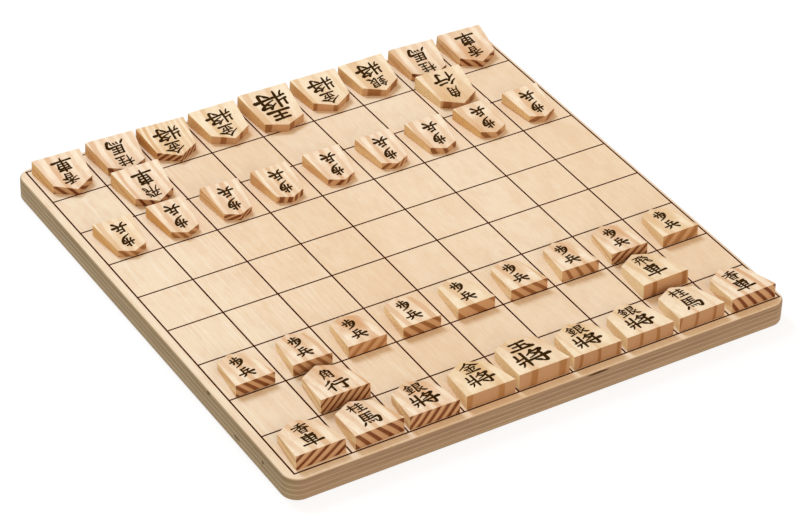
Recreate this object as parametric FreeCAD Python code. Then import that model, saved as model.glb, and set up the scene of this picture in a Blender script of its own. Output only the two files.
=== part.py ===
"""Shogi set: a nearly square plywood board with an inked grid, and forty wooden pieces set up on it.

Millimetres. +Z is up, and the near player sits towards -Y. The origin is the centre of the
board's underside. The board is built up from its plies, and every piece is a solid of its own
that rests on the playing face.
"""
import FreeCAD, Part
import math
import os
from collections import namedtuple

# Playing grid
SQUARE_SIZE = 28.5
SQUARES_PER_SIDE = 9
LINE_WIDTH = 0.85
LINE_DEPTH = 0.3

# Board: the bare wood between the outermost grid lines and the edge is wider on the near and left sides
LEFT_MARGIN = 4.9
RIGHT_MARGIN = 2.2
NEAR_MARGIN = 5.1
FAR_MARGIN = 2.9
BOARD_THICKNESS = 12.0
PLY_COUNT = 9
CORNER_RADIUS = 8.0
EDGE_ROUNDING = 1.5

# Pieces: a five-sided wedge, thick at the base and thin at the tip
PieceSize = namedtuple(
    "PieceSize", "base_width shoulder_width length shoulder_length base_thickness tip_thickness")
KING_SIZE = PieceSize(
    base_width=26.9, shoulder_width=21.5, length=28.9, shoulder_length=24.5,
    base_thickness=8.3, tip_thickness=4.3)
MAJOR_SIZE = PieceSize(
    base_width=25.4, shoulder_width=20.2, length=27.1, shoulder_length=21.1,
    base_thickness=7.6, tip_thickness=3.6)
GENERAL_SIZE = PieceSize(
    base_width=25.5, shoulder_width=20.6, length=26.2, shoulder_length=20.1,
    base_thickness=7.2, tip_thickness=3.8)
KNIGHT_SIZE = PieceSize(
    base_width=25.3, shoulder_width=19.7, length=25.8, shoulder_length=20.7,
    base_thickness=7.5, tip_thickness=3.8)
LANCE_SIZE = PieceSize(
    base_width=25.0, shoulder_width=20.3, length=26.5, shoulder_length=20.2,
    base_thickness=7.5, tip_thickness=3.7)
PAWN_SIZE = PieceSize(
    base_width=20.2, shoulder_width=14.5, length=24.6, shoulder_length=21.3,
    base_thickness=6.2, tip_thickness=3.4)
PIECE_EASING = 0.4

# What stands where. The file is counted from the left. The turn is in degrees from square-on. The slip is
# how far the middle of the base lies to the right of the middle of its file, and the setback is how far
# the base lies inside the line of the square that is nearest its own player.
Stand = namedtuple("Stand", "kind file turn slip setback")
NEAR_HOME_ROW = (
    Stand("lance", 1, turn=0.5, slip=0.0, setback=1.5),
    Stand("knight", 2, turn=2.0, slip=0.5, setback=1.0),
    Stand("silver", 3, turn=-1.0, slip=-0.5, setback=0.5),
    Stand("gold", 4, turn=0.0, slip=0.0, setback=0.5),
    Stand("king", 5, turn=0.0, slip=-0.5, setback=0.5),
    Stand("silver", 6, turn=-0.5, slip=-0.5, setback=0.5),
    Stand("silver", 7, turn=0.0, slip=-0.5, setback=0.5),
    Stand("knight", 8, turn=0.5, slip=-0.5, setback=0.5),
    Stand("lance", 9, turn=1.0, slip=0.0, setback=0.5),
)
NEAR_MAJOR_ROW = (
    Stand("bishop", 2, turn=0.0, slip=0.0, setback=0.5),
    Stand("rook", 8, turn=1.0, slip=-0.5, setback=0.5),
)
NEAR_PAWN_ROW = (
    Stand("pawn", 1, turn=1.0, slip=-0.5, setback=0.5),
    Stand("pawn", 2, turn=-1.0, slip=0.0, setback=0.5),
    Stand("pawn", 3, turn=0.0, slip=-0.5, setback=0.0),
    Stand("pawn", 4, turn=0.0, slip=-0.5, setback=0.0),
    Stand("pawn", 5, turn=1.0, slip=0.0, setback=0.0),
    Stand("pawn", 6, turn=0.5, slip=0.0, setback=0.0),
    Stand("pawn", 7, turn=-1.5, slip=0.0, setback=0.5),
    Stand("pawn", 8, turn=-0.5, slip=-1.0, setback=0.5),
    Stand("pawn", 9, turn=0.5, slip=-0.5, setback=0.5),
)
FAR_PAWN_ROW = (
    Stand("pawn", 1, turn=-1.0, slip=0.0, setback=4.0),
    Stand("pawn", 2, turn=-1.5, slip=0.0, setback=3.0),
    Stand("pawn", 3, turn=-3.0, slip=0.5, setback=2.5),
    Stand("pawn", 4, turn=-0.5, slip=-0.5, setback=2.0),
    Stand("pawn", 5, turn=-1.5, slip=0.0, setback=1.5),
    Stand("pawn", 6, turn=-0.5, slip=0.5, setback=2.0),
    Stand("pawn", 7, turn=-2.0, slip=0.0, setback=2.5),
    Stand("pawn", 8, turn=1.0, slip=-1.0, setback=2.5),
    Stand("pawn", 9, turn=0.0, slip=-0.5, setback=2.5),
)
FAR_MAJOR_ROW = (
    Stand("rook", 2, turn=-0.5, slip=0.0, setback=0.5),
    Stand("bishop", 8, turn=-1.0, slip=-0.5, setback=-0.5),
)
FAR_HOME_ROW = (
    Stand("lance", 1, turn=-2.0, slip=0.0, setback=2.5),
    Stand("knight", 2, turn=-3.0, slip=1.0, setback=1.0),
    Stand("gold", 3, turn=-3.5, slip=-0.5, setback=2.0),
    Stand("gold", 4, turn=-0.5, slip=-0.5, setback=1.5),
    Stand("king", 5, turn=-1.5, slip=-0.5, setback=1.5),
    Stand("gold", 6, turn=-1.0, slip=0.5, setback=0.5),
    Stand("silver", 7, turn=0.5, slip=-0.5, setback=0.5),
    Stand("knight", 8, turn=-3.5, slip=0.5, setback=1.0),
    Stand("lance", 9, turn=-2.5, slip=0.5, setback=1.0),
)

SIZE_OF_KIND = {
    "king": KING_SIZE,
    "rook": MAJOR_SIZE,
    "bishop": MAJOR_SIZE,
    "gold": GENERAL_SIZE,
    "silver": GENERAL_SIZE,
    "knight": KNIGHT_SIZE,
    "lance": LANCE_SIZE,
    "pawn": PAWN_SIZE,
}

HALF_SQUARE = SQUARE_SIZE / 2
GRID_SIDE = SQUARE_SIZE * SQUARES_PER_SIDE
BOARD_WIDTH = LEFT_MARGIN + GRID_SIDE + RIGHT_MARGIN
BOARD_DEPTH = NEAR_MARGIN + GRID_SIDE + FAR_MARGIN
GRID_LEFT = LEFT_MARGIN - BOARD_WIDTH / 2
GRID_NEAR = NEAR_MARGIN - BOARD_DEPTH / 2
PLY_THICKNESS = BOARD_THICKNESS / PLY_COUNT
HALF_TURN = 180.0
UP = FreeCAD.Vector(0, 0, 1)
ORIGIN = FreeCAD.Vector(0, 0, 0)


def board_blank():
    """The whole board as one solid: round corners in plan, and a rounding along both faces."""
    blank = Part.makeBox(
        BOARD_WIDTH, BOARD_DEPTH, BOARD_THICKNESS,
        FreeCAD.Vector(-BOARD_WIDTH / 2, -BOARD_DEPTH / 2, 0))
    upright_edges = [
        edge for edge in blank.Edges
        if edge.Vertexes[0].Z != edge.Vertexes[1].Z]
    blank = blank.makeFillet(CORNER_RADIUS, upright_edges)
    face_edges = [
        edge for edge in blank.Edges
        if edge.BoundBox.ZLength < PLY_THICKNESS]
    return blank.makeFillet(EDGE_ROUNDING, face_edges)


def grid_lines():
    """The lines of the grid as one solid whose upper side is flush with the playing face."""
    bar_length = GRID_SIDE + LINE_WIDTH
    start = -LINE_WIDTH / 2
    bars = []
    for number in range(SQUARES_PER_SIDE + 1):
        across = number * SQUARE_SIZE + start
        bars.append(Part.makeBox(
            LINE_WIDTH, bar_length, LINE_DEPTH, FreeCAD.Vector(across, start, 0)))
        bars.append(Part.makeBox(
            bar_length, LINE_WIDTH, LINE_DEPTH, FreeCAD.Vector(start, across, 0)))
    lines = bars[0].multiFuse(bars[1:]).removeSplitter()
    lines.translate(FreeCAD.Vector(GRID_LEFT, GRID_NEAR, BOARD_THICKNESS - LINE_DEPTH))
    return lines


def ply(blank, number):
    """One ply of the board, counted from 1 at the underside."""
    slab = Part.makeBox(
        BOARD_WIDTH, BOARD_DEPTH, PLY_THICKNESS,
        FreeCAD.Vector(-BOARD_WIDTH / 2, -BOARD_DEPTH / 2, (number - 1) * PLY_THICKNESS))
    return blank.common(slab)


def ply_name(number):
    """Node name of a ply: the two outer plies are named for their faces."""
    if number == 1:
        return "ply_1_underside"
    if number == PLY_COUNT:
        return f"ply_{number}_playing_face"
    return f"ply_{number}_core"


def piece_solid(size):
    """A piece lying on its back, the middle of its base on the origin and its tip towards +Y.

    The wedge is the same above and below its middle plane, so its edge faces lean by half the
    wedge's angle when the back lies flat.
    """
    taper = size.base_thickness - size.tip_thickness
    lean = math.atan2(taper, size.length) / 2
    edge_direction = FreeCAD.Vector(0, math.sin(lean), math.cos(lean))
    back = [
        FreeCAD.Vector(-size.base_width / 2, 0, 0),
        FreeCAD.Vector(size.base_width / 2, 0, 0),
        FreeCAD.Vector(size.shoulder_width / 2, size.shoulder_length, 0),
        FreeCAD.Vector(0, size.length, 0),
        FreeCAD.Vector(-size.shoulder_width / 2, size.shoulder_length, 0),
    ]
    front = [
        corner + edge_direction * (size.base_thickness - taper * corner.y / size.length)
        for corner in back]
    outlines = [back[::-1], front]
    for number, corner in enumerate(back):
        outlines.append([back[number - 1], corner, front[number], front[number - 1]])
    faces = [Part.Face(Part.makePolygon(outline + outline[:1])) for outline in outlines]
    wedge = Part.makeSolid(Part.makeShell(faces))
    return wedge.makeFillet(PIECE_EASING, wedge.Edges)


def stand_near(piece, stand, rank):
    """Stands a piece of the near player in its square, its tip pointing away from that player."""
    middle_of_file = GRID_LEFT + stand.file * SQUARE_SIZE - HALF_SQUARE + stand.slip
    base_line = GRID_NEAR + (rank - 1) * SQUARE_SIZE + stand.setback
    piece.rotate(ORIGIN, UP, stand.turn)
    piece.translate(FreeCAD.Vector(middle_of_file, base_line, BOARD_THICKNESS))


def stand_far(piece, stand, rank):
    """Stands a piece of the far player in its square, its tip pointing towards the near player."""
    middle_of_file = GRID_LEFT + stand.file * SQUARE_SIZE - HALF_SQUARE + stand.slip
    base_line = GRID_NEAR + rank * SQUARE_SIZE - stand.setback
    piece.rotate(ORIGIN, UP, HALF_TURN + stand.turn)
    piece.translate(FreeCAD.Vector(middle_of_file, base_line, BOARD_THICKNESS))


def save(shape, name):
    """Writes one node, after checking that it is one sound solid."""
    if not shape.isValid() or len(shape.Solids) != 1 or shape.Volume <= 0:
        raise ValueError(f"{name} is not one sound solid")
    shape.Solids[0].exportStep(os.path.join("parts", name + ".step"))


def save_board():
    """Writes the plies and the grid lines that fill the grooves of the playing face."""
    blank = board_blank()
    lines = grid_lines()
    for number in range(1, PLY_COUNT):
        save(ply(blank, number), ply_name(number))
    save(ply(blank, PLY_COUNT).cut(lines), ply_name(PLY_COUNT))
    save(lines, "grid_lines")


def save_pieces():
    """Writes all forty pieces where they stand, each player's rows counted from that player's side."""
    near_rows = (NEAR_HOME_ROW, NEAR_MAJOR_ROW, NEAR_PAWN_ROW)
    for rank, row in enumerate(near_rows, start=1):
        for stand in row:
            piece = piece_solid(SIZE_OF_KIND[stand.kind])
            stand_near(piece, stand, rank)
            save(piece, f"near_{stand.kind}_{stand.file}")
    far_rows = (FAR_HOME_ROW, FAR_MAJOR_ROW, FAR_PAWN_ROW)
    for rows_in, row in enumerate(far_rows):
        for stand in row:
            piece = piece_solid(SIZE_OF_KIND[stand.kind])
            stand_far(piece, stand, SQUARES_PER_SIDE - rows_in)
            save(piece, f"far_{stand.kind}_{stand.file}")


os.makedirs("parts", exist_ok=True)
save_board()
save_pieces()
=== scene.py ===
"""Looks of the shogi set: a birch plywood board with an inked grid, and forty wooden pieces set up on it.

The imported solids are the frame. Every ply, the grid lines and every piece keep their own solid and get
their finish here. The names brushed on the pieces are thin ink strokes of their own, and each name rides on
the piece that it is written on.
"""
from __future__ import annotations

import logging
import math
from collections.abc import Sequence
from dataclasses import dataclass
from enum import Enum

import bmesh
import bpy
from mathutils import Matrix, Vector


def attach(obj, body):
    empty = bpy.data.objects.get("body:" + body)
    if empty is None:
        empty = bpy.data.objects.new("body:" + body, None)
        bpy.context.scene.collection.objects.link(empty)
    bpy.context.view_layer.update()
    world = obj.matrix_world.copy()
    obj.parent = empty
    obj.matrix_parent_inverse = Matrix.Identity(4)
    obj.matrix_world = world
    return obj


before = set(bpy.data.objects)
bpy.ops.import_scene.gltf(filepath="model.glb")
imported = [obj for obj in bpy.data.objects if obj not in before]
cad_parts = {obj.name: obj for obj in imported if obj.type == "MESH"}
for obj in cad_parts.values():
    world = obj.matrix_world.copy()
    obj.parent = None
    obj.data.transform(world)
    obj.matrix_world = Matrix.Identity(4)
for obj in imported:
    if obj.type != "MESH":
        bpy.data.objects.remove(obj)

MM = 0.001
UP = Vector((0, 0, 1))
PLIES = 9
Colour = tuple[int, int, int]
Linear = tuple[float, float, float, float]
Triple = tuple[float, float, float]
Pair = tuple[float, float]
Stroke = tuple[Triple, ...]
Socket = bpy.types.NodeSocket

# Specular level of bare wood, and the range that a noise pattern mostly fills
WOOD_GLOSS = 0.12
NOISE_RANGE = (0.3, 0.7)

logging.basicConfig(level=logging.INFO, format="%(name)s %(message)s")
log = logging.getLogger("shogi_set")


def linear(colour: Colour) -> Linear:
    """Turns a colour as it looks on screen into the linear colour that a shader takes.

    Args:
        colour: Red, green and blue from 0 to 255.

    Returns:
        Linear red, green and blue, and an alpha of 1.
    """
    channels = [value / 255 for value in colour]
    straight = [c / 12.92 if c <= 0.04045 else ((c + 0.055) / 1.055) ** 2.4 for c in channels]
    return (straight[0], straight[1], straight[2], 1.0)


def grey(level: float) -> Linear:
    """Gives a neutral linear colour of a level from 0 for black to 1 for white."""
    return (level, level, level, 1.0)


@dataclass(frozen=True)
class Grain:
    """A noise pattern in a material.

    Attributes:
        scale: Blotches for each millimetre along x, y and z.
        detail: Finer layers.
        roughness: Strength of the finer layers.
        distortion: How much the pattern is swirled.
    """

    scale: Triple
    detail: float = 2.0
    roughness: float = 0.5
    distortion: float = 0.0


class Tree:
    """A shader tree under construction: short ways to add and join its nodes."""

    def __init__(self, tree: bpy.types.NodeTree) -> None:
        """Empties a tree, to be built anew."""
        self.tree = tree
        self.tree.nodes.clear()

    def feed(self, socket: Socket, source: object) -> None:
        """Joins a socket to another one, or sets the value on it.

        Args:
            socket: The input.
            source: An output socket, or a plain value.
        """
        if isinstance(source, Socket):
            self.tree.links.new(source, socket)
        else:
            socket.default_value = source

    def add(self, kind: str, *sources: object, **named: object) -> bpy.types.Node:
        """Adds a node and feeds its inputs.

        Args:
            kind: The node's type.
            sources: Sockets or values for its first inputs, in order.
            named: Sockets or values for further inputs, by their names.

        Returns:
            The node.
        """
        node = self.tree.nodes.new(kind)
        for socket, source in zip(node.inputs, sources):
            self.feed(socket, source)
        for name, source in named.items():
            self.feed(node.inputs[name], source)
        return node

    def math(self, operation: str, *sources: object, clamp: bool = False) -> Socket:
        """Adds a Math node.

        Args:
            operation: The node's operation.
            sources: Its inputs in order.
            clamp: Whether the result stays between 0 and 1.

        Returns:
            The result.
        """
        node = self.add("ShaderNodeMath", *sources)
        node.operation = operation
        node.use_clamp = clamp
        return node.outputs[0]

    def times(self, value: Socket, factor: object) -> Socket:
        """Multiplies a value by a number or by another value."""
        return self.math("MULTIPLY", value, factor)

    def seen(self) -> Socket:
        """Tells whether a ray comes from the camera, a reflection or a clear material.

        Returns:
            1 where it does.
        """
        path = self.add("ShaderNodeLightPath").outputs
        total = path["Is Camera Ray"]
        for name in ("Is Glossy Ray", "Is Transmission Ray"):
            total = self.math("MAXIMUM", total, path[name])
        return total


class Finish(Tree):
    """A material under construction, with coordinates in millimetres on the piece that wears it."""

    def __init__(self, name: str, start: Sequence[float] = (0.0, 0.0, 0.0), turn: float = 0.0) -> None:
        """Starts an empty material with a surface shader.

        Args:
            name: Name of the material.
            start: Where the coordinates start, in metres.
            turn: How far they are turned about the upright, in radians.
        """
        self.material = bpy.data.materials.new(name)
        self.material.use_nodes = True
        super().__init__(self.material.node_tree)
        self.surface = self.add("ShaderNodeBsdfPrincipled")
        self.add("ShaderNodeOutputMaterial", self.surface.outputs["BSDF"])
        self.coordinates = self.add("ShaderNodeTexCoord").outputs
        self.place = self.local(start, turn, (MM, MM, MM))

    def dot(self, vector: Socket, direction: Vector) -> Socket:
        """Adds the part of a vector that lies along a fixed direction.

        Args:
            vector: The vector.
            direction: The direction, whose length scales the result.

        Returns:
            The result.
        """
        node = self.add("ShaderNodeVectorMath", vector, direction)
        node.operation = "DOT_PRODUCT"
        return node.outputs["Value"]

    def facing(self, direction: Vector) -> Socket:
        """Tells how squarely the surface faces along a line, from 0 for not at all to 1 for squarely."""
        return self.math("ABSOLUTE", self.dot(self.coordinates["Normal"], direction))

    def noise(self, grain: Grain) -> Socket:
        """Adds a noise pattern.

        Args:
            grain: The pattern.

        Returns:
            The value from 0 to 1, mostly near 0.5.
        """
        scaled = self.add("ShaderNodeMapping", Vector=self.place, Scale=grain.scale)
        node = self.add("ShaderNodeTexNoise", Vector=scaled.outputs["Vector"], Scale=1.0, Detail=grain.detail,
                        Roughness=grain.roughness, Distortion=grain.distortion)
        return node.outputs["Fac"]

    def spread(self, value: Socket, low: float, high: float, to_low: float = 0.0,
               to_high: float = 1.0) -> Socket:
        """Eases a value from one range into another.

        Args:
            value: The value.
            low: The value that becomes to_low.
            high: The value that becomes to_high.
            to_low: Start of the new range.
            to_high: End of the new range.

        Returns:
            The eased value.
        """
        node = self.add("ShaderNodeMapRange", value, low, high, to_low, to_high)
        node.interpolation_type = "SMOOTHSTEP"
        return node.outputs["Result"]

    def chance(self, number: Socket) -> Socket:
        """Gives every whole number a value of its own from 0 to 1.

        Args:
            number: The number, rounded down first.

        Returns:
            The value.
        """
        node = self.add("ShaderNodeTexWhiteNoise")
        node.noise_dimensions = "1D"
        self.feed(node.inputs["W"], self.math("FLOOR", number))
        return node.outputs["Value"]

    def steps(self, value: Socket, stops: Sequence[Pair]) -> Socket:
        """Reads a value off a smooth profile.

        Args:
            value: Where on the profile, from 0 to 1.
            stops: Places on the profile with the height there.

        Returns:
            The height.
        """
        node = self.add("ShaderNodeValToRGB", value)
        node.color_ramp.interpolation = "EASE"
        elements = node.color_ramp.elements
        while len(elements) < len(stops):
            elements.new(0.5)
        for element, (place, height) in zip(elements, stops):
            element.position = place
            element.color = grey(height)
        return node.outputs["Color"]

    def mix(self, share: object, first: object, second: object) -> Socket:
        """Mixes two colours.

        Args:
            share: How much of the second one.
            first: A colour as it looks on screen, or a socket.
            second: The other one.

        Returns:
            The mixed colour.
        """
        node = self.add("ShaderNodeMix", share)
        node.data_type = "RGBA"
        for name, source in (("A", first), ("B", second)):
            socket = next(s for s in node.inputs if s.name == name and s.type == "RGBA")
            self.feed(socket, linear(source) if isinstance(source, tuple) else source)
        return next(s for s in node.outputs if s.type == "RGBA")

    def relief(self, height: Socket, depth: float, strength: float) -> None:
        """Gives the surface a bump from a pattern of heights, so many metres deep and so strong."""
        node = self.add("ShaderNodeBump", Distance=depth, Strength=strength, Height=height)
        self.feed(self.surface.inputs["Normal"], node.outputs["Normal"])

    def local(self, start: Sequence[float], turn: float, scale: Sequence[float]) -> Socket:
        """Gives coordinates from a point on the object, turned about the upright.

        Args:
            start: The point, in metres.
            turn: The turn in radians.
            scale: Length of one unit along each axis, in metres.

        Returns:
            The coordinates.
        """
        node = self.add("ShaderNodeMapping", self.coordinates["Object"], start, (0.0, 0.0, turn), scale)
        node.vector_type = "TEXTURE"
        return node.outputs["Vector"]

    def spot(self, middle: Vector, reach: Vector) -> Socket:
        """Marks out a soft round or stretched spot.

        Args:
            middle: Its middle on the object, in metres.
            reach: How far it reaches from there along each axis, in metres.

        Returns:
            1 in the middle, 0 from the spot's border on.
        """
        node = self.add("ShaderNodeTexGradient", self.local(middle, 0.0, reach))
        node.gradient_type = "SPHERICAL"
        return self.spread(node.outputs["Fac"], 0.0, 0.45)

    def coat(self, colour: Socket, rough: Socket, gloss: float) -> None:
        """Gives the surface its colour, its roughness and its specular level."""
        for name, source in (("Base Color", colour), ("Roughness", rough), ("Specular IOR Level", gloss)):
            self.feed(self.surface.inputs[name], source)


@dataclass(frozen=True)
class Rings:
    """The growth rings of one piece, as its end grain shows them.

    Attributes:
        lean: Direction of the rings in degrees, 90 upright, less where they lean right as seen from the base.
        pitch: Distance from ring to ring across the piece, in millimetres.
        offset: How far a ring lies to the right of the middle at NEAR_POINT or FAR_POINT, in millimetres.
        width: Width of the dark part of each ring across the piece, in millimetres.
        depth: How dark the rings are, from 0 to 1.
        warmth: From 0 for pinkish wood to 1 for yellowish wood.
        shade: How much darker than the palest pieces the whole piece is.
        side: From 0 for pale long sides to 1 for deep ones: partly each piece's own tone and partly painted
            light and shade, low on near pieces and high on far pieces whose sides face away from the back
            lamp.
        end: How much darker the end grain is between the rings: partly the piece's own tone and partly
            painted shade on near bases that catch less light.
    """

    lean: float
    pitch: float
    offset: float
    width: float
    depth: float
    warmth: float = 0.2
    shade: float = 0.0
    side: float = 0.1
    end: float = 0.0


# Where the rings' offset is given: how far from the base edge and how high above the board, in millimetres
NEAR_POINT = (0.0, 3.7)
FAR_POINT = (23.5, 2.1)

RINGS: dict[str, Rings] = {
    "near_lance_1": Rings(36, 6.6, -1.3, 2.1, 1.00, shade=0.2, side=0.3),
    "near_knight_2": Rings(134, 5.7, 2.6, 1.9, 0.95, 0.1),
    "near_silver_3": Rings(50, 4.9, -0.5, 1.8, 0.95, 0.1, shade=0.4),
    # The end values below are partly painted shade on these pieces' bases
    "near_gold_4": Rings(86, 16.8, 5.2, 2.4, 0.20, 0.9, shade=0.4, end=0.35),
    "near_king_5": Rings(84, 14.9, -5.6, 2.9, 0.30, 0.5, shade=0.2, end=0.35),
    "near_silver_6": Rings(87, 9.9, 0.6, 1.3, 0.45, 0.7, shade=0.35, end=0.55),
    "near_silver_7": Rings(88, 9.1, -5.1, 1.4, 0.40, 0.6, shade=0.1, side=0.2, end=0.45),
    "near_knight_8": Rings(82, 9.8, -3.1, 1.3, 0.45, 0.4, side=0.0, end=0.45),
    "near_lance_9": Rings(129, 5.3, -1.4, 1.6, 1.00, 0.1),
    "near_bishop_2": Rings(46, 4.1, -0.9, 1.2, 1.00, 0.1, shade=0.4),
    "near_rook_8": Rings(88, 16.8, -6.7, 2.0, 0.40, 0.7, shade=0.3, side=0.0),
    "near_pawn_1": Rings(139, 5.1, 1.9, 1.9, 0.90, shade=0.15, side=0.3),
    "near_pawn_2": Rings(132, 5.0, -0.9, 1.6, 0.65, 0.1, shade=0.2),
    "near_pawn_3": Rings(45, 6.7, 1.8, 2.2, 0.35, 0.1, shade=0.6, side=0.2),
    "near_pawn_4": Rings(138, 6.5, -4.0, 2.2, 0.65),
    "near_pawn_5": Rings(138, 11.4, -0.4, 3.2, 0.50, 0.6),
    "near_pawn_6": Rings(139, 6.2, -1.3, 2.0, 0.70, 0.3, shade=0.2),
    "near_pawn_7": Rings(123, 5.7, 4.6, 1.5, 0.70, shade=0.3, side=0.2),
    "near_pawn_8": Rings(38, 5.4, 1.9, 1.7, 0.95, 0.1, shade=0.4),
    "near_pawn_9": Rings(48, 7.7, -7.4, 3.2, 0.35, 0.8, shade=0.2, side=0.2),
    # From here on the higher side values are partly painted shade on the far pieces' long sides
    "far_lance_1": Rings(39, 5.6, 1.9, 1.9, 0.95, 0.0, side=0.85),
    "far_knight_2": Rings(60, 5.0, 8.3, 1.9, 0.90, 0.0, side=0.65),
    "far_gold_3": Rings(129, 3.0, 4.7, 1.2, 1.00, 0.6, shade=0.2, side=1.0),
    "far_gold_4": Rings(91, 10.0, 5.4, 1.8, 0.60, 0.7, side=0.65),
    "far_king_5": Rings(90, 12.0, 9.7, 2.6, 0.60, 0.4, shade=0.2, side=0.7),
    "far_gold_6": Rings(92, 9.2, 9.8, 1.8, 0.50, 0.6, side=0.75),
    "far_silver_7": Rings(90, 12.0, 5.5, 4.2, 0.55, 0.6, side=0.6),
    "far_knight_8": Rings(35, 6.0, 7.3, 2.4, 0.90, 0.1, side=0.6),
    "far_lance_9": Rings(37, 5.4, 7.7, 1.8, 1.00, 0.0, shade=0.5, side=0.5),
    "far_rook_2": Rings(54, 4.4, 7.2, 1.2, 1.00, 0.0, side=0.65),
    "far_bishop_8": Rings(90, 14.0, 7.4, 2.7, 0.50, 0.6, shade=0.4, side=0.35),
    "far_pawn_1": Rings(42, 5.2, 5.1, 2.0, 0.60, 0.5, side=0.85),
    "far_pawn_2": Rings(42, 4.5, 2.3, 1.9, 0.60, 0.1, side=1.0),
    "far_pawn_3": Rings(148, 4.6, 1.9, 2.0, 0.95, 0.0, side=0.5),
    "far_pawn_4": Rings(95, 3.8, 1.4, 1.6, 0.90, side=0.55),
    "far_pawn_5": Rings(123, 5.5, 1.7, 1.7, 0.90, 0.0, side=0.55),
    "far_pawn_6": Rings(128, 4.5, 5.1, 1.5, 0.80, 0.0, side=0.5),
    "far_pawn_7": Rings(60, 6.0, 6.2, 1.9, 0.80, 0.0, side=0.5),
    "far_pawn_8": Rings(48, 7.5, 5.6, 2.4, 0.70, shade=0.3, side=0.75),
    "far_pawn_9": Rings(140, 8.0, 4.2, 2.8, 0.65, side=0.5),
}


# Width and height of the box that the brush strokes of a character are written in
BOX = 100


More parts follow.
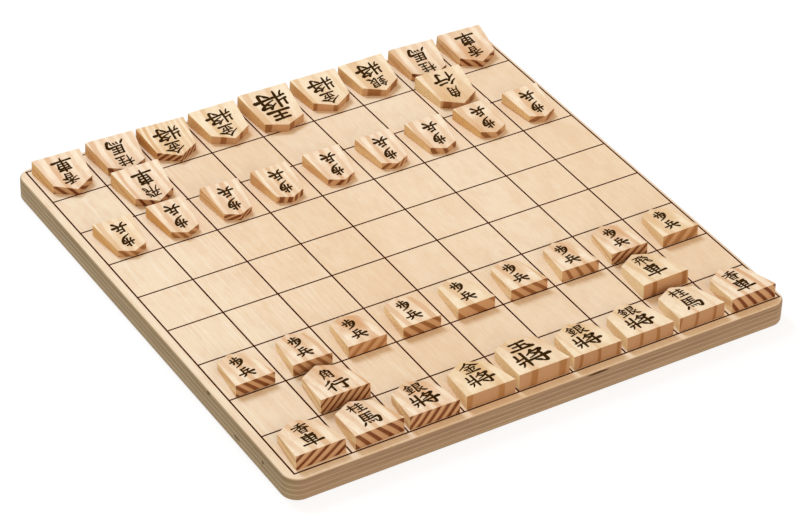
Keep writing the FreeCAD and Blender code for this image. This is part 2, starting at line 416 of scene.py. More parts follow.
class Sign(Enum):
    """The characters that the names are made of, by their readings: brush strokes in writing order.

    Each knot of a stroke gives its place across and up in the box, and the width of the stroke there.
    """

    OU = (
        ((16, 86, 13), (48, 89, 11), (84, 94, 15)),
        ((50, 92, 13), (50, 50, 12), (50, 10, 13)),
        ((22, 49, 12), (50, 51, 10), (80, 55, 14)),
        ((2, 6, 15), (48, 9, 12), (98, 13, 18)),
    )
    GYOKU = (
        *OU[:2],
        ((22, 49, 12), (50, 51, 10), (78, 55, 13)),
        OU[3],
        ((76, 42, 7), (84, 36, 12), (90, 27, 14)),
    )
    SHOU = (
        ((9, 90, 8), (9, 74, 7), (8, 58, 7)),
        ((2, 52, 8), (16, 57, 6), (30, 62, 8)),
        ((30, 99, 9), (29, 60, 8), (28, 28, 9), (27, 0, 6)),
        ((1, 30, 8), (14, 35, 6), (28, 40, 6)),
        ((14, 36, 7), (10, 18, 6), (3, 4, 4)),
        ((62, 100, 9), (54, 86, 7), (40, 72, 4)),
        ((58, 88, 7), (72, 90, 7), (88, 92, 11), (76, 74, 8), (60, 60, 6), (42, 50, 4)),
        ((56, 76, 6), (64, 72, 9), (69, 67, 8)),
        ((36, 36, 9), (64, 41, 8), (98, 47, 13)),
        ((78, 64, 9), (79, 36, 9), (77, 8, 10), (70, 6, 7), (62, 14, 4)),
        ((50, 28, 6), (58, 22, 10), (62, 16, 9)),
    )
    HI = (
        ((10, 92, 8), (38, 94, 7), (64, 97, 9), (64, 84, 7), (76, 68, 7), (96, 62, 8), (97, 72, 4)),
        ((84, 95, 7), (76, 89, 6), (68, 84, 4)),
        ((78, 82, 5), (84, 78, 8), (88, 74, 7)),
        ((36, 86, 7), (26, 76, 6), (14, 69, 4)),
        ((2, 52, 8), (28, 57, 7), (56, 62, 8)),
        ((26, 76, 7), (24, 48, 7), (16, 26, 6), (4, 8, 4)),
        ((48, 84, 8), (48, 44, 8), (46, 2, 6)),
        ((58, 44, 7), (68, 47, 6), (78, 50, 9), (76, 34, 7), (84, 16, 7), (98, 10, 8), (99, 20, 4)),
        ((92, 48, 7), (86, 42, 6), (80, 37, 4)),
        ((88, 34, 5), (93, 30, 8), (96, 26, 7)),
    )
    SHA = (
        ((22, 86, 9), (50, 88, 7), (80, 92, 10)),
        ((25, 74, 8), (26, 56, 7), (29, 38, 7)),
        ((26, 73, 7), (52, 75, 7), (78, 78, 10), (76, 58, 8), (73, 40, 7)),
        ((30, 57, 6), (52, 58, 6), (73, 60, 7)),
        ((29, 41, 6), (52, 42, 6), (73, 43, 7)),
        ((1, 20, 9), (48, 23, 8), (99, 28, 12)),
        ((50, 100, 9), (50, 56, 8), (50, 20, 8), (49, 0, 5)),
    )
    KAKU = (
        ((44, 100, 10), (34, 86, 8), (14, 72, 4)),
        ((42, 91, 8), (58, 92, 8), (72, 94, 11), (66, 84, 8), (56, 77, 5)),
        ((22, 73, 9), (21, 44, 8), (15, 20, 7), (2, 2, 4)),
        ((22, 73, 8), (54, 75, 8), (88, 78, 12), (87, 40, 9), (86, 8, 10), (78, 4, 8), (68, 12, 4)),
        ((24, 53, 7), (54, 54, 6), (84, 56, 7)),
        ((21, 32, 7), (54, 33, 6), (84, 35, 7)),
        ((54, 75, 8), (54, 44, 7), (54, 12, 6)),
    )
    GYOU = (
        ((34, 100, 9), (24, 84, 7), (6, 68, 4)),
        ((36, 70, 9), (24, 52, 7), (0, 30, 4)),
        ((24, 52, 8), (24, 28, 8), (23, 0, 6)),
        ((50, 84, 8), (68, 86, 7), (86, 90, 10)),
        ((42, 56, 9), (70, 59, 8), (99, 64, 12)),
        ((77, 60, 9), (77, 34, 9), (75, 8, 11), (68, 4, 8), (56, 14, 4)),
    )
    KIN = (
        ((52, 100, 9), (38, 80, 8), (2, 52, 4)),
        ((50, 96, 5), (66, 78, 8), (86, 64, 12), (99, 60, 6)),
        ((34, 62, 7), (50, 63, 6), (66, 66, 8)),
        ((24, 42, 8), (50, 44, 7), (76, 48, 9)),
        ((50, 64, 8), (50, 34, 8), (50, 8, 8)),
        ((30, 32, 6), (35, 26, 8), (38, 20, 7)),
        ((70, 34, 8), (65, 27, 7), (60, 21, 4)),
        ((14, 4, 9), (50, 6, 8), (86, 10, 12)),
    )
    GIN = (
        ((25, 100, 8), (17, 84, 6), (1, 68, 4)),
        ((25, 97, 5), (33, 86, 7), (43, 78, 7)),
        ((15, 71, 6), (25, 72, 5), (35, 75, 6)),
        ((9, 53, 7), (24, 55, 5), (39, 58, 7)),
        ((25, 73, 7), (25, 44, 6), (24, 18, 7)),
        ((11, 44, 5), (14, 38, 7), (16, 32, 6)),
        ((38, 46, 6), (35, 40, 5), (31, 34, 4)),
        ((3, 8, 8), (22, 14, 6), (42, 24, 5)),
        ((55, 92, 7), (70, 93, 6), (86, 95, 9), (85, 76, 7), (83, 58, 6)),
        ((57, 76, 5), (70, 77, 5), (83, 78, 6)),
        ((57, 58, 5), (70, 59, 5), (83, 60, 6)),
        ((56, 93, 7), (56, 50, 7), (55, 10, 8), (62, 14, 6), (74, 26, 4)),
        ((92, 46, 7), (82, 38, 6), (72, 34, 4)),
        ((66, 48, 5), (76, 28, 7), (88, 12, 11), (100, 6, 6)),
    )
    KEI = (
        ((1, 70, 9), (20, 74, 7), (42, 80, 8)),
        ((24, 100, 9), (24, 54, 8), (23, 0, 6)),
        ((24, 70, 7), (14, 50, 6), (0, 34, 4)),
        ((27, 64, 5), (33, 57, 8), (37, 50, 7)),
        ((54, 81, 8), (70, 83, 7), (90, 87, 10)),
        ((72, 98, 9), (72, 76, 8), (71, 58, 7)),
        ((46, 56, 8), (70, 59, 7), (97, 63, 10)),
        ((54, 31, 8), (70, 33, 7), (90, 36, 9)),
        ((72, 52, 8), (71, 30, 8), (71, 6, 8)),
        ((42, 2, 9), (70, 5, 8), (100, 9, 12)),
    )
    MA = (
        ((27, 96, 8), (25, 72, 8), (21, 40, 8)),
        ((27, 94, 7), (52, 95, 7), (80, 99, 9)),
        ((52, 95, 8), (51, 70, 7), (49, 45, 7)),
        ((28, 77, 6), (52, 78, 6), (76, 81, 8)),
        ((26, 60, 6), (50, 61, 6), (74, 64, 8)),
        ((20, 41, 8), (54, 44, 8), (90, 49, 13), (92, 30, 11), (84, 8, 12), (76, 4, 9), (68, 12, 4)),
        ((19, 26, 7), (11, 14, 9), (2, 3, 5)),
        ((34, 27, 5), (37, 21, 8), (38, 15, 7)),
        ((49, 29, 5), (53, 23, 8), (55, 17, 7)),
        ((64, 31, 5), (69, 25, 8), (71, 19, 7)),
    )
    KYOU = (
        ((68, 100, 8), (52, 93, 7), (30, 89, 4)),
        ((5, 71, 9), (48, 74, 7), (94, 80, 10)),
        ((51, 93, 8), (51, 68, 8), (50, 46, 7)),
        ((49, 72, 8), (34, 56, 7), (2, 40, 4)),
        ((52, 72, 5), (68, 58, 8), (84, 49, 12), (98, 46, 6)),
        ((31, 38, 8), (32, 18, 7), (33, 0, 7)),
        ((31, 37, 7), (50, 39, 7), (70, 41, 10), (69, 20, 8), (68, 0, 7)),
        ((35, 20, 6), (50, 21, 5), (66, 22, 6)),
        ((34, 3, 6), (50, 4, 6), (67, 5, 7)),
    )
    FU = (
        ((54, 100, 11), (54, 84, 10), (53, 68, 9)),
        ((56, 84, 9), (68, 86, 8), (82, 90, 10)),
        ((22, 88, 8), (24, 78, 9), (25, 66, 9)),
        ((2, 60, 11), (44, 63, 9), (92, 70, 12), (100, 62, 13), (92, 40, 12), (62, 16, 11), (10, -2, 5)),
        ((54, 62, 10), (54, 46, 10), (50, 30, 11)),
        ((28, 52, 8), (23, 43, 10), (16, 34, 9)),
        ((72, 56, 6), (78, 48, 10), (80, 42, 9)),
    )
    HYOU = (
        ((68, 100, 10), (54, 93, 9), (34, 88, 6)),
        ((34, 92, 9), (34, 66, 8), (32, 42, 8)),
        ((35, 66, 8), (56, 69, 8), (78, 73, 11)),
        ((64, 70, 9), (64, 56, 8), (63, 42, 8)),
        ((0, 34, 10), (48, 37, 9), (99, 43, 14)),
        ((38, 28, 9), (30, 14, 9), (12, 0, 5)),
        ((60, 28, 7), (72, 16, 10), (86, 2, 13)),
    )


@dataclass(frozen=True)
class Written:
    """Where one character stands on a face.

    Attributes:
        sign: The character.
        right: How far its middle lies to the right of the face's middle, in millimetres.
        up: How far its middle lies from the face's base edge, in millimetres.
        width: Width of its box, in millimetres.
        height: Height of its box, in millimetres.
        weight: How heavy its strokes are beside the plain ones.
    """

    sign: Sign
    right: float
    up: float
    width: float
    height: float
    weight: float = 1.0


NAMES: dict[str, tuple[Written, Written]] = {
    "king": (Written(Sign.GYOKU, 0.0, 20.6, 11.4, 6.8, 1.35), Written(Sign.SHOU, 0.1, 9.2, 17.0, 11.8, 1.35)),
    "rook": (Written(Sign.HI, 0.3, 19.0, 7.6, 7.8, 1.45), Written(Sign.SHA, -0.3, 8.7, 10.0, 10.4, 1.45)),
    "bishop": (Written(Sign.KAKU, 0.0, 17.1, 6.0, 7.8, 1.6), Written(Sign.GYOU, 0.0, 6.8, 11.4, 8.8, 1.6)),
    "gold": (Written(Sign.KIN, 0.6, 19.0, 9.8, 8.2, 1.4), Written(Sign.SHOU, 0.3, 8.6, 13.2, 9.4, 1.3)),
    "silver": (Written(Sign.GIN, 0.5, 18.3, 9.4, 7.4, 1.6), Written(Sign.SHOU, 0.3, 8.4, 13.2, 9.4, 1.4)),
    "knight": (Written(Sign.KEI, -0.3, 18.5, 7.4, 7.0, 1.55), Written(Sign.MA, 0.0, 8.2, 10.0, 9.6, 1.4)),
    "lance": (Written(Sign.KYOU, 0.3, 17.7, 7.8, 7.6, 1.55), Written(Sign.SHA, -0.3, 7.6, 10.0, 9.6, 1.45)),
    "pawn": (Written(Sign.FU, -0.2, 16.2, 5.4, 7.8, 1.65), Written(Sign.HYOU, -0.5, 7.0, 7.2, 6.8, 1.7)),
}
FAR_KING_NAME = (Written(Sign.OU, 0.0, 20.2, 11.6, 7.0, 1.4), NAMES["king"][1])


@dataclass(frozen=True)
class Mark:
    """A small dark natural mark in the board's edge.

    Attributes:
        middle: Where it lies on the board, in millimetres.
        reach: How far it reaches from there along each axis, in millimetres.
        strength: How dark it is, from 0 to 1.
    """

    middle: Triple
    reach: Triple
    strength: float


@dataclass(frozen=True)
class BirchPly:
    """The finish of one birch ply: the pale face veneer, or a core that only shows at the edge.

    Attributes:
        name: Name of the material.
        near_edge: Colour of the cut edge on the sides towards the players.
        side_edge: Colour of the cut edge on the other two sides.
        pale_line: Strength of the pale line near the top of the edge.
        strips: How warm the face is from the left edge of the board to the right one.
        thickness: Thickness of a ply in millimetres.
        width: Width of the board in millimetres.
        marks: The natural marks of the whole board. A ply shows those that lie on it.
    """

    # Colours of the flat: the veneer, its warmer strips, the clouds in it, the pale ribs and the pores
    FACE = (244, 222, 194)
    WARM = (236, 202, 165)
    ROSY = (233, 200, 166)
    PALE = (249, 236, 215)
    PORE = (176, 132, 92)

    # Colours in the cut edge: the dark and the light streaks, the pores seen end on, the pale line, the
    # painted light towards the underside of the board where light from the floor falls, the glue between two
    # plies and the natural marks
    DARK_STREAK = (128, 100, 72)
    LIGHT_STREAK = (206, 178, 146)
    END_PORE = (120, 92, 66)
    LINE = (236, 208, 172)
    LOW_PAINTED_LIGHT = (218, 196, 164)
    GLUE = (108, 78, 50)
    MARK = (80, 48, 12)

    # Patterns: the first seven in the flat, the last two in the cut edge
    DRIFT = Grain((0.020, 0.006, 0.020), detail=1.0)
    FIGURE = Grain((0.060, 0.010, 0.060), distortion=0.4)
    FIBRES = Grain((1.4, 0.035, 1.4), detail=4.0, roughness=0.6)
    FLECKS = Grain((0.42, 0.13, 0.42), detail=3.0, roughness=0.6)
    PORES = Grain((3.5, 0.30, 3.5), detail=1.0)
    MOTTLE = Grain((0.10, 0.055, 0.10), detail=5.0, roughness=0.68, distortion=0.6)
    RIBS = Grain((0.50, 0.013, 0.50), detail=3.0, roughness=0.6)
    STREAKS = Grain((0.022, 0.022, 1.6), detail=4.0, roughness=0.7)
    ENDS = Grain((1.3, 1.3, 2.6), detail=2.0, roughness=0.6)

    # Strength of the pale line and of the glue, from the underside of a ply at 0 to its top at 1
    PALE_PROFILE = ((0.0, 0.0), (0.55, 0.0), (0.72, 1.0), (0.84, 1.0), (0.93, 0.0), (1.0, 0.0))
    GLUE_PROFILE = ((0.0, 1.0), (0.10, 0.0), (0.92, 0.0), (1.0, 1.0))

    name: str
    near_edge: Colour = (161, 132, 107)
    side_edge: Colour = (173, 155, 122)
    pale_line: float = 0.0
    strips: tuple[Pair, ...] = (
        (0.00, 0.00), (0.12, 0.05), (0.22, 0.36), (0.30, 0.50), (0.36, 0.62), (0.42, 0.66), (0.50, 0.34),
        (0.60, 0.32), (0.72, 0.12), (0.83, 0.30), (0.94, 0.52), (1.00, 0.46))
    thickness: float = 12.0 / PLIES
    width: float = 263.6
    marks: tuple[Mark, ...] = (
        Mark((25.9, -132.1, 11.20), (7.2, 1.2, 0.55), 0.95),
        Mark((-131.6, -60.2, 11.1), (0.9, 2.0, 0.6), 0.75),
        Mark((-131.8, -85.8, 4.1), (1.0, 3.6, 0.8), 0.80),
        Mark((-131.8, -108.7, 6.9), (1.0, 1.2, 0.9), 0.95),
    )

    def make(self) -> bpy.types.Material:
        """Builds the material.

        Returns:
            The material.
        """
        wood = Finish(self.name)
        fibres = wood.noise(self.FIBRES)
        streaks = wood.noise(self.STREAKS)
        flat = self.flat_colour(wood, fibres)
        edge = self.edge_colour(wood, streaks)
        level = wood.spread(wood.facing(UP), 0.66, 0.96)
        colour = wood.mix(level, edge, flat)
        for mark in self.marks:
            spot = wood.spot(Vector(mark.middle) * MM, Vector(mark.reach) * MM)
            colour = wood.mix(wood.times(spot, mark.strength), colour, self.MARK)
        grain = wood.mix(level, streaks, fibres)
        wood.coat(colour, wood.spread(grain, *NOISE_RANGE, 0.50, 0.62), WOOD_GLOSS)
        wood.relief(grain, 0.05 * MM, 0.35)
        return wood.material

    def flat_colour(self, wood: Finish, fibres: Socket) -> Socket:
        """Colours the flat of the veneer: warm strips, a figure to one side and fine fibres front to back.

        Args:
            wood: The material.
            fibres: The fibres.

        Returns:
            The colour.
        """
        drift = wood.spread(wood.noise(self.DRIFT), 0.2, 0.8, 0.46, 0.54)
        across = wood.math("ADD", wood.dot(wood.place, Vector((1 / self.width, 0, 0))), drift)
        plain = wood.spread(across, 0.25, 0.45)
        bands = wood.math("SINE", wood.times(wood.noise(self.FIGURE), 60.0))
        bands = wood.times(bands, wood.spread(plain, 0.0, 1.0, 0.10, 0.03))
        threads = wood.spread(fibres, *NOISE_RANGE, -0.5, 0.5)
        threads = wood.times(threads, wood.spread(plain, 0.0, 1.0, 0.55, 0.22))
        flecks = wood.spread(wood.noise(self.FLECKS), *NOISE_RANGE, -0.16, 0.16)
        warmth = wood.math("ADD", wood.steps(across, self.strips), bands)
        warmth = wood.math("ADD", warmth, threads)
        warmth = wood.math("ADD", warmth, flecks, clamp=True)
        flat = wood.mix(warmth, self.FACE, self.WARM)
        flat = wood.mix(wood.spread(wood.noise(self.MOTTLE), 0.44, 0.66, 0.0, 0.45), flat, self.ROSY)
        ribs = wood.spread(wood.noise(self.RIBS), 0.50, 0.66)
        ribs = wood.times(ribs, wood.spread(across, 0.0, 0.35, 0.50, 0.08))
        flat = wood.mix(ribs, flat, self.PALE)
        return wood.mix(wood.spread(wood.noise(self.PORES), 0.66, 0.80, 0.0, 0.14), flat, self.PORE)

    def edge_colour(self, wood: Finish, streaks: Socket) -> Socket:
        """Colours the cut edge: streaks along the ply, pores end on, a pale line, glue between the plies, and
        painted light towards the underside.

        Args:
            wood: The material.
            streaks: The streaks.

        Returns:
            The colour.
        """
        sideways = wood.facing(Vector((1, 0, 0)))
        height = wood.dot(wood.place, UP)
        within = wood.math("FRACT", wood.math("DIVIDE", height, self.thickness))
        glue = wood.times(wood.steps(within, self.GLUE_PROFILE), wood.spread(sideways, 0.3, 0.9, 0.40, 0.90))
        edge = wood.mix(wood.spread(sideways, 0.3, 0.9), self.near_edge, self.side_edge)
        for share, colour in (
                (wood.spread(streaks, 0.50, 0.72, 0.0, 0.60), self.DARK_STREAK),
                (wood.spread(streaks, 0.30, 0.50, 0.45, 0.0), self.LIGHT_STREAK),
                (wood.spread(wood.noise(self.ENDS), 0.52, 0.80, 0.0, 0.25), self.END_PORE),
                (wood.times(wood.steps(within, self.PALE_PROFILE), self.pale_line), self.LINE),
                # Painted light: the edge turns paler towards the underside, where light from the floor falls
                (wood.spread(height, 0.0, 8.0, 0.30, 0.0), self.LOW_PAINTED_LIGHT),
                (glue, self.GLUE)):
            edge = wood.mix(share, edge, colour)
        return edge


@dataclass(frozen=True)
class PieceWood:
    """The finish of one piece: pale softwood whose rings run through it from end to end.

    Attributes:
        follow: How far the grain runs down with the upper face, from 0 for level to 1 for all the way.
        sway: How far the rings stray from a plane, in millimetres.
    """

    # Colours of the upper face and of the rings in it, in pinkish wood and in yellowish wood
    PALE = (255, 238, 214)
    PALE_WARM = (252, 233, 201)
    STREAK = (217, 164, 116)
    STREAK_WARM = (222, 178, 122)

    # Colours of the narrow long sides: the palest, partly painted light that lifts the sides, and the
    # deepest, partly painted shade on far pieces' sides that face away from the back lamp; the rings and the
    # fibres
    SAWN = (255, 236, 196)
    SAWN_DEEP_SHADED = (226, 180, 112)
    SAWN_RING = (206, 150, 98)
    SAWN_FIBRE = (214, 164, 112)

    # Colours of the end grain: the palest and the deepest, the deepest partly painted shade, the faintest and
    # the darkest rings, the specks
    END_PALE = (205, 160, 119)
    END_DEEP_SHADED = (165, 120, 86)
    END_FAINT = (178, 120, 60)
    END_DARK = (105, 43, 0)
    END_SPECK = (158, 104, 60)

    # Patterns: how the rings stray and vary, the fibres, the clouds, and the specks in the end grain
    WAVER = Grain((0.05, 0.022, 0.05), detail=1.0)
    UNEVEN = Grain((0.30, 0.05, 0.30))
    FIBRES = Grain((2.2, 0.07, 2.2), detail=5.0, roughness=0.65)
    CLOUD = Grain((0.10, 0.05, 0.10))
    SPECKS = Grain((4.5, 4.5, 4.5), detail=3.0, roughness=0.7)

    follow: float = 0.85
    sway: float = 0.9

    def count(self, wood: Finish, rings: Rings, face: PieceFace, point: Pair) -> Socket:
        """Counts the rings across the piece, with whole numbers half way between the dark parts.

        Args:
            wood: The material.
            rings: The growth rings.
            face: The upper face of the piece.
            point: Where the rings' offset is given.

        Returns:
            The count.
        """
        slope = 1.0 / math.tan(math.radians(rings.lean))
        fall = -self.follow * face.along.z / face.along.dot(face.heading)
        distance, height = point
        start = (slope * (height + fall * distance) - rings.offset) / rings.pitch + 0.5
        across = Vector((1.0, -slope * fall, -slope)) / rings.pitch
        count = wood.math("ADD", wood.dot(wood.place, across), start)
        sway = self.sway / rings.pitch
        return wood.math("ADD", count, wood.spread(wood.noise(self.WAVER), 0.2, 0.8, -sway, sway))

    def make(self, name: str, rings: Rings, face: PieceFace, point: Pair) -> bpy.types.Material:
        """Builds the material of one piece.

        Args:
            name: Name of the piece.
            rings: The growth rings of this piece.
            face: The upper face of the piece.
            point: Where the rings' offset is given.

        Returns:
            The material.
        """
        wood = Finish(name + "_wood", face.ground, math.atan2(-face.heading.x, face.heading.y))
        end = wood.spread(wood.facing(face.heading), 0.45, 0.80)
        level = wood.spread(wood.facing(UP), 0.45, 0.90)
        count = self.count(wood, rings, face, point)
        share = rings.width / rings.pitch
        # Across a ring the wood darkens slowly, stays dark for the ring's width and turns pale at once
        ring = wood.steps(wood.math("FRACT", count), [
            (0.0, 0.0), (0.5 - 0.95 * share, 0.12), (0.5 - 0.50 * share, 1.0),
            (0.5 + 0.50 * share, 1.0), (0.5 + 0.68 * share, 0.04), (1.0, 0.0)])
        ring = wood.times(ring, wood.spread(wood.noise(self.UNEVEN), 0.25, 0.75, 0.92, 1.0))
        chance = wood.chance(count)
        streak = wood.times(ring, wood.spread(chance, 0.0, 1.0, 0.45, 1.10))
        ring = wood.times(ring, wood.spread(chance, 0.0, 1.0, 0.94, 1.0))

        fibres = wood.noise(self.FIBRES)
        specks = wood.noise(self.SPECKS)
        cloud = wood.spread(wood.noise(self.CLOUD), 0.35, 0.70, 0.0, 0.32 + rings.shade)
        fibrous = wood.spread(fibres, 0.35, 0.70, 0.0, 0.30)

        dark = wood.mix(rings.warmth, self.STREAK, self.STREAK_WARM)
        planed = wood.mix(cloud, wood.mix(rings.warmth, self.PALE, self.PALE_WARM), dark)
        planed = wood.mix(wood.times(streak, 0.56 + 0.24 * rings.depth), planed, dark)
        planed = wood.mix(fibrous, planed, dark)
        # Partly painted light and shade on the long sides: pale for near pieces, deep for far pieces facing
        # away from the back lamp
        side = wood.mix(rings.side, self.SAWN, self.SAWN_DEEP_SHADED)
        side = wood.mix(wood.times(ring, 0.58 * rings.depth), side, self.SAWN_RING)
        side = wood.mix(fibrous, side, self.SAWN_FIBRE)
        band = wood.mix(rings.depth, self.END_FAINT, self.END_DARK)
        # Partly painted shade: rings.end darkens the end grain of bases that catch less light
        cut = wood.mix(rings.end, self.END_PALE, self.END_DEEP_SHADED)
        cut = wood.mix(wood.times(ring, 0.70 + 0.30 * rings.depth), cut, band)
        cut = wood.mix(wood.spread(specks, 0.45, 0.75, 0.0, 0.12), cut, self.END_SPECK)

        grain = wood.mix(end, fibres, specks)
        wood.coat(wood.mix(end, wood.mix(level, side, planed), cut),
                  wood.spread(grain, *NOISE_RANGE, 0.48, 0.62), WOOD_GLOSS)
        wood.relief(grain, 0.06 * MM, 0.35)
        return wood.material


@dataclass(frozen=True)
class Ink:
    """Dark matt ink, a little uneven where the wood has drunk it.

    Attributes:
        name: Name of the material.
        dark: Colour where the ink lies full.
        thin: Colour where the wood shows through.
        scale: Blotches for each millimetre.
    """

    name: str
    dark: Colour = (54, 34, 8)
    thin: Colour = (84, 55, 28)
    scale: float = 0.9

    def make(self) -> bpy.types.Material:
        """Builds the material.

        Returns:
            The material.
        """
        ink = Finish(self.name)
        blotch = ink.noise(Grain((self.scale, self.scale, self.scale), detail=4.0, roughness=0.6))
        colour = ink.mix(ink.spread(blotch, 0.45, 0.75, 0.0, 0.6), self.dark, self.thin)
        ink.coat(colour, ink.spread(blotch, *NOISE_RANGE, 0.42, 0.62), 0.0)
        ink.relief(blotch, 0.02 * MM, 0.4)
        return ink.material


def dress(node: str, material: bpy.types.Material) -> None:
    """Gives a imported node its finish.

    Args:
        node: Name of the node.
        material: The finish.
    """
    for material_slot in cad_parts[node].material_slots:
        material_slot.material = material
    log.info("%s dressed in %s", node, material.name)


def place_mesh(name: str, mesh: bmesh.types.BMesh) -> bpy.types.Object:
    """Turns a finished mesh into an object of the scene.

    Args:
        name: Name of the object.
        mesh: The mesh, which is freed.

    Returns:
        The object.
    """
    data = bpy.data.meshes.new(name)
    mesh.to_mesh(data)
    mesh.free()
    made = bpy.data.objects.new(name, data)
    bpy.context.scene.collection.objects.link(made)
    return made


@dataclass
class Board:
    """The plywood board: nine plies and the inked grid.

    Attributes:
        plies: Number of plies.
    """

    plies: int = PLIES

    def dress(self) -> None:
        """Gives every ply and the grid lines their finish."""
        face = BirchPly("birch_face_veneer", side_edge=(161, 142, 107)).make()
        long_grain = BirchPly("birch_long_grain_core", pale_line=0.38).make()
        cross_grain = BirchPly(
            "birch_cross_grain_core", near_edge=(157, 128, 102), side_edge=(156, 137, 105)).make()
        dress("ply_1_underside", face)
        dress(f"ply_{self.plies}_playing_face", face)
        for number in range(2, self.plies):
            dress(f"ply_{number}_core", long_grain if number % 2 else cross_grain)
        dress("grid_lines", Ink("grid_line_ink", dark=(62, 18, 0), thin=(92, 42, 8), scale=0.35).make())


@dataclass
class PieceFace:
    """The upper face of a piece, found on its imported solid.

    Attributes:
        start: Middle of the face's base edge.
        right: Direction to the right, as read from the base.
        along: Direction from the base to the tip, down the slope.
        normal: Direction out of the face.
        ground: Middle of the base edge on the board.
        heading: Level direction from the base to the tip.
    """

    # Least upright part of the normals of a sloping and a level face, and least area of a triangle of the
    # upper face
    SLOPING = 0.97
    LEVEL = 0.9999
    SMALLEST = 10 * MM * MM

    start: Vector
    right: Vector
    along: Vector
    normal: Vector
    ground: Vector
    heading: Vector

    @classmethod
    def find(cls, node: str) -> PieceFace:
        """Finds the sloping upper face and the level underside of a piece.

        Args:
            node: Name of the piece's node.

        Returns:
            The face.
        """
        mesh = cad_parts[node].data
        upper = [p for p in mesh.polygons if cls.SLOPING < p.normal.z < cls.LEVEL and p.area > cls.SMALLEST]
        under = [p for p in mesh.polygons if p.normal.z < -cls.LEVEL]
        normal = sum((p.normal * p.area for p in upper), Vector()).normalized()
        heading = Vector((normal.x, normal.y, 0.0)).normalized()
        right = Vector((heading.y, -heading.x, 0.0))
        along = normal.cross(right)
        start = cls.edge_middle(mesh, upper, right, along)
        ground = cls.edge_middle(mesh, under, right, heading)
        return cls(start, right, along, normal, ground, heading)

    @staticmethod
    def edge_middle(mesh: bpy.types.Mesh, polygons: list[bpy.types.MeshPolygon], right: Vector,
                    along: Vector) -> Vector:
        """Finds the middle of the base edge of a flat face.

        Args:
            mesh: The mesh.
            polygons: The triangles of the face.
            right: Direction across the face.
            along: Direction from its base edge to its tip.

        Returns:
            The point.
        """
        corners = [mesh.vertices[index].co for polygon in polygons for index in polygon.vertices]
        across = [corner.dot(right) for corner in corners]
        lengthways = [corner.dot(along) for corner in corners]
        normal = right.cross(along)
        return (right * (min(across) + max(across)) / 2 + along * min(lengthways)
                + normal * corners[0].dot(normal))


@dataclass
class Brush:
    """Turns strokes into thin ribbons of ink.

    Attributes:
        samples: Points on each stretch from knot to knot.
        lift: How far the ink stands above the wood, in metres.
        sink: How far it reaches into the wood, in metres.
        step: How much higher each later stroke lies, in metres.
        finest: Least width of a stroke, in metres.
    """

    # The points of a round end, the outermost first: how far out and how wide, in parts of the half width
    ROUND_END = ((0.98, 0.18), (0.80, 0.60), (0.45, 0.89))

    samples: int = 5
    lift: float = 0.02 * MM
    sink: float = 0.02 * MM
    step: float = 0.0015 * MM
    finest: float = 0.04 * MM

    def curve(self, stroke: Stroke) -> list[Triple]:
        """Smooths a stroke through its knots.

        Args:
            stroke: The knots.

        Returns:
            Points on the smooth stroke, with its width at each.
        """
        knots = [Vector(knot) for knot in stroke]
        padded = [2 * knots[0] - knots[1], *knots, 2 * knots[-1] - knots[-2]]
        points = []
        for a, b, c, d in zip(padded, padded[1:], padded[2:], padded[3:]):
            for number in range(self.samples):
                t = number / self.samples
                points.append(0.5 * (2 * b + (c - a) * t + (2 * a - 5 * b + 4 * c - d) * t * t
                                     + (3 * b - a - 3 * c + d) * t * t * t))
        return [tuple(point) for point in points + [knots[-1]]]

    def ribbon(self, mesh: bmesh.types.BMesh, points: list[Triple], height: float) -> None:
        """Lays one stroke as a closed ribbon with round ends.

        Args:
            mesh: The mesh that takes it.
            points: Across, along and width of each point, in metres.
            height: Height of its upper side, in metres.
        """
        middles = [Vector((x, y)) for x, y, _ in points]
        halves = [max(width, self.finest) / 2 for _, _, width in points]
        line = [*self.cap(middles[0], middles[1], halves[0]), *zip(middles, halves),
                *self.cap(middles[-1], middles[-2], halves[-1])[::-1]]
        strip = bmesh.ops.create_grid(mesh, x_segments=len(line) - 1, y_segments=1, size=0.5)["verts"]
        strip.sort(key=lambda vertex: (round(vertex.co.x, 5), vertex.co.y))
        for number, (middle, half) in enumerate(line):
            before = line[max(number - 1, 0)][0]
            after = line[min(number + 1, len(line) - 1)][0]
            direction = (after - before).normalized()
            side = Vector((-direction.y, direction.x)) * half
            for vertex, sign in zip(strip[2 * number: 2 * number + 2], (-1, 1)):
                vertex.co = (*(middle + side * sign), -self.sink)
        faces = list({face for vertex in strip for face in vertex.link_faces})
        grown = bmesh.ops.extrude_face_region(mesh, geom=faces)["geom"]
        upper = [item for item in grown if isinstance(item, bmesh.types.BMVert)]
        bmesh.ops.translate(mesh, verts=upper, vec=(0, 0, height + self.sink))

    def cap(self, end: Vector, inner: Vector, half: float) -> list[tuple[Vector, float]]:
        """Gives the points beyond one end of a stroke, the outermost first, with half the width at each."""
        outward = (end - inner).normalized() * half
        return [(end + outward * reach, half * part) for reach, part in self.ROUND_END]

    def write(self, name: str, text: tuple[Written, Written], face: PieceFace) -> bpy.types.Object:
        """Writes the characters of one face as one object.

        Args:
            name: Name of the object.
            text: The characters.
            face: The face that they stand on.

        Returns:
            The object.
        """
        mesh = bmesh.new()
        layer = 0
        for character in text:
            size = Vector((character.width, character.height)) * MM / BOX
            middle = Vector((character.right, character.up)) * MM
            for stroke in character.sign.value:
                points = [
                    (middle.x + (x - BOX / 2) * size.x, middle.y + (y - BOX / 2) * size.y,
                     width * character.weight * math.sqrt(size.x * size.y))
                    for x, y, width in self.curve(stroke)]
                self.ribbon(mesh, points, self.lift + layer * self.step)
                layer += 1
        turn = Matrix((face.right, face.along, face.normal)).transposed().to_4x4()
        mesh.transform(Matrix.Translation(face.start) @ turn)
        return place_mesh(name, mesh)


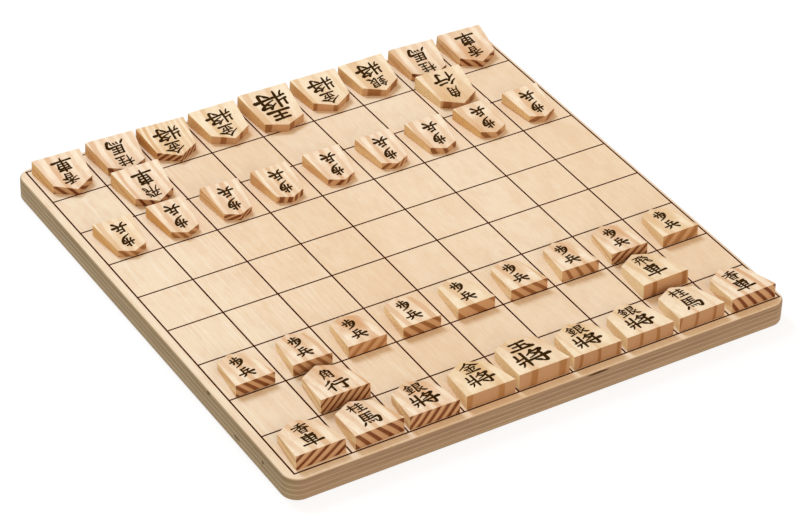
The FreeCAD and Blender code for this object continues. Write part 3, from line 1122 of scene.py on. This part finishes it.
@dataclass
class PlayingPieces:
    """The forty pieces: each keeps its solid, and gets its own wood and its name in ink.

    Attributes:
        brush: The brush that writes the names.
        wood: The finish of the wood.
    """

    brush: Brush
    wood: PieceWood

    def build(self) -> None:
        """Dresses every piece and writes its name."""
        ink = Ink("name_ink").make()
        for node, rings in RINGS.items():
            face = PieceFace.find(node)
            side, kind, _ = node.split("_")
            point = NEAR_POINT if side == "near" else FAR_POINT
            dress(node, self.wood.make(node, rings, face, point))
            text = FAR_KING_NAME if node.startswith("far_king") else NAMES[kind]
            name = self.brush.write(node + "_name", text, face)
            name.data.materials.append(ink)
            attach(name, node)
            log.info("%s written on %s", name.name, node)


@dataclass(frozen=True)
class Lamp:
    """A square soft lamp that faces the middle of the board.

    Attributes:
        name: Name of the lamp.
        place: Where it stands, in metres.
        size: Side of the lamp in metres.
        power: Power in watts.
        tint: Linear colour of its light.
    """

    name: str
    place: Triple
    size: float
    power: float
    tint: Triple

    def build(self) -> None:
        """Builds the lamp."""
        light = bpy.data.lights.new(self.name, "AREA")
        light.shape = "SQUARE"
        light.size = self.size
        light.energy = self.power
        light.color = self.tint
        holder = bpy.data.objects.new(self.name, light)
        holder.location = self.place
        holder.rotation_euler = Vector(self.place).to_track_quat("Z", "Y").to_euler()
        bpy.context.scene.collection.objects.link(holder)


@dataclass
class Studio:
    """A pale floor, a white backdrop, an even fill and two soft lamps.

    Attributes:
        floor_radius: Radius of the floor in metres.
        floor_sides: Sides of the floor's outline.
        floor_drop: How far the floor lies below the board, in metres.
        floor_shade: Level of the floor's own grey.
        floor_faint: Level of the grey that the camera sees, which takes the shadow.
        floor_glow: Strength of the glow that the camera sees.
        fill: Strength of the even light from all round.
        fill_tint: Linear colour of the even light.
        lamps: The soft lamps.
    """

    floor_radius: float = 5.0
    floor_sides: int = 96
    floor_drop: float = 0.1 * MM
    floor_shade: float = 0.80
    floor_faint: float = 0.20
    floor_glow: float = 0.84
    fill: float = 0.675
    fill_tint: Linear = (1.0, 0.83, 0.615, 1.0)
    lamps: tuple[Lamp, ...] = (
        Lamp("back_lamp", (-0.15, 0.95, 1.25), 0.5, 15.8, (0.56, 0.76, 0.98)),
        Lamp("front_lamp", (0.15, -1.60, 0.50), 1.0, 6.3, (1.0, 0.97, 0.93)),
    )

    def build(self) -> None:
        """Builds the backdrop, the floor and the lamps."""
        self.build_world()
        self.build_floor()
        for lamp in self.lamps:
            lamp.build()
        log.info("studio built")

    def build_world(self) -> None:
        """Makes the backdrop white to the eye and the fill even."""
        world = bpy.data.worlds.new("studio")
        bpy.context.scene.world = world
        world.use_nodes = True
        shader = Tree(world.node_tree)
        fill = shader.add("ShaderNodeBackground", Color=self.fill_tint, Strength=self.fill)
        white = shader.add("ShaderNodeBackground", Color=grey(1.0))
        mixed = shader.add("ShaderNodeMixShader", shader.seen(), fill.outputs[0], white.outputs[0])
        shader.add("ShaderNodeOutputWorld", mixed.outputs[0])

    def build_floor(self) -> None:
        """Lays a pale floor that keeps a faint shadow of the board."""
        mesh = bmesh.new()
        bmesh.ops.create_circle(mesh, cap_ends=True, radius=self.floor_radius, segments=self.floor_sides)
        bmesh.ops.translate(mesh, verts=mesh.verts, vec=(0, 0, -self.floor_drop))
        floor = place_mesh("floor", mesh)
        material = bpy.data.materials.new("pale_floor")
        material.use_nodes = True
        shader = Tree(material.node_tree)
        plain = shader.add("ShaderNodeBsdfDiffuse", Color=grey(self.floor_shade))
        faint = shader.add("ShaderNodeBsdfDiffuse", Color=grey(self.floor_faint))
        glow = shader.add("ShaderNodeEmission", Strength=self.floor_glow)
        pale = shader.add("ShaderNodeAddShader", faint.outputs[0], glow.outputs[0])
        mixed = shader.add("ShaderNodeMixShader", shader.seen(), plain.outputs[0], pale.outputs[0])
        shader.add("ShaderNodeOutputMaterial", mixed.outputs[0])
        floor.data.materials.append(material)


@dataclass
class Viewpoint:
    """The camera.

    Attributes:
        place: Where it stands, in metres.
        aim: The point in the middle of its view.
        roll: How far it is turned about its own line of sight, in degrees.
        lens: Focal length in millimetres.
        sensor: Width of the sensor in millimetres.
        clip: Nearest and farthest distance that it sees, in metres.
    """

    place: Triple = (-0.66396, -1.04172, 0.90335)
    aim: Triple = (-0.00454, -0.01739, 0.01218)
    roll: float = -2.139
    lens: float = 144.78
    sensor: float = 36.0
    clip: Pair = (0.05, 30.0)

    def build(self) -> None:
        """Sets up the camera and makes it the scene's own."""
        forward = (Vector(self.aim) - Vector(self.place)).normalized()
        level = forward.cross(UP).normalized()
        right = Matrix.Rotation(math.radians(self.roll), 3, forward) @ level
        up = right.cross(forward)
        camera = bpy.data.cameras.new("viewpoint")
        camera.sensor_fit = "HORIZONTAL"
        camera.sensor_width = self.sensor
        camera.lens = self.lens
        camera.clip_start, camera.clip_end = self.clip
        holder = bpy.data.objects.new("viewpoint", camera)
        holder.matrix_world = (Matrix.Translation(self.place)
                               @ Matrix((right, up, -forward)).transposed().to_4x4())
        bpy.context.scene.collection.objects.link(holder)
        bpy.context.scene.camera = holder
        log.info("camera placed")


def main() -> None:
    """Builds the scene in order."""
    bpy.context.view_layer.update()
    bpy.context.scene.view_settings.view_transform = "Standard"
    Viewpoint().build()
    Studio().build()
    Board().dress()
    PlayingPieces(Brush(), PieceWood()).build()


if __name__ == "__main__":
    main()
